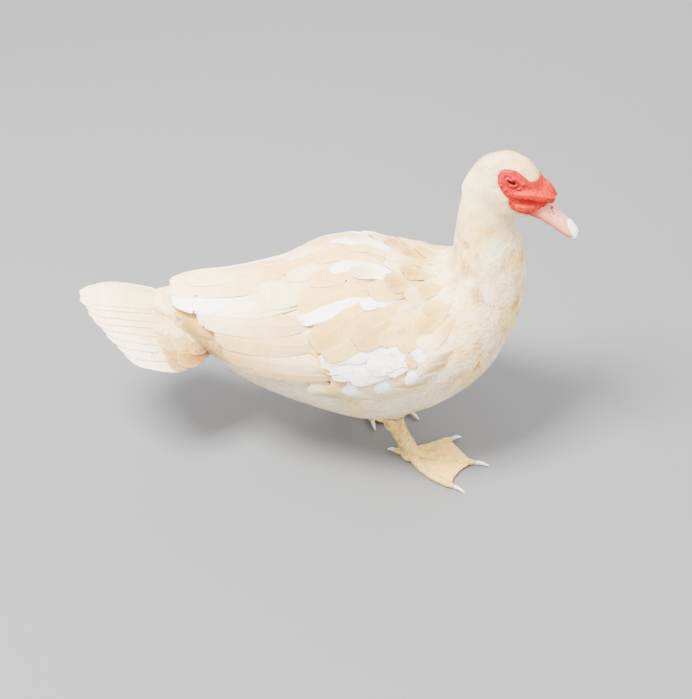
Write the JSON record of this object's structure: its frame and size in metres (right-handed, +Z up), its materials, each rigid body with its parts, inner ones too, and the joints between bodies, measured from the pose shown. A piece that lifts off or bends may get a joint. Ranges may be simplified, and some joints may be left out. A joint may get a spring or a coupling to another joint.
{
  "type": "muscovy duck",
  "caption": "Life-size standing muscovy duck hen with buff plumage, bare red face, pink bill and yellow webbed feet.",
  "frame": {"origin": "middle of the bird's bounding box, on the floor under it", "axes": "+X ahead, the way that the body points; +Y to the bird's left; +Z up"},
  "size_m": [0.482, 0.2004, 0.3399],
  "materials": {
    "plumage": "matte",
    "flight": "matte",
    "face": "satin",
    "bill": "satin",
    "nail": "satin",
    "leg": "matte",
    "claw": "satin",
    "eye": "gloss"
  },
  "bodies": {
    "root": {"bill_lower": "bill", "bill_nail": "nail", "bill_upper": "bill", "claw_left_hind": "claw", "claw_left_inner": "claw", "claw_left_middle": "claw", "claw_left_outer": "claw", "claw_right_hind": "claw", "claw_right_inner": "claw", "claw_right_middle": "claw", "claw_right_outer": "claw", "eye_left": "eye", "eye_right": "eye", "face": "face", "foot_left": "leg", "foot_right": "leg", "head": "plumage", "neck": "plumage", "shank_left": "leg", "shank_right": "leg", "tail": "flight", "thigh_left": "plumage", "thigh_right": "plumage", "torso": "plumage", "wing_left": "flight", "wing_right": "flight"}
  },
  "joints": []
}
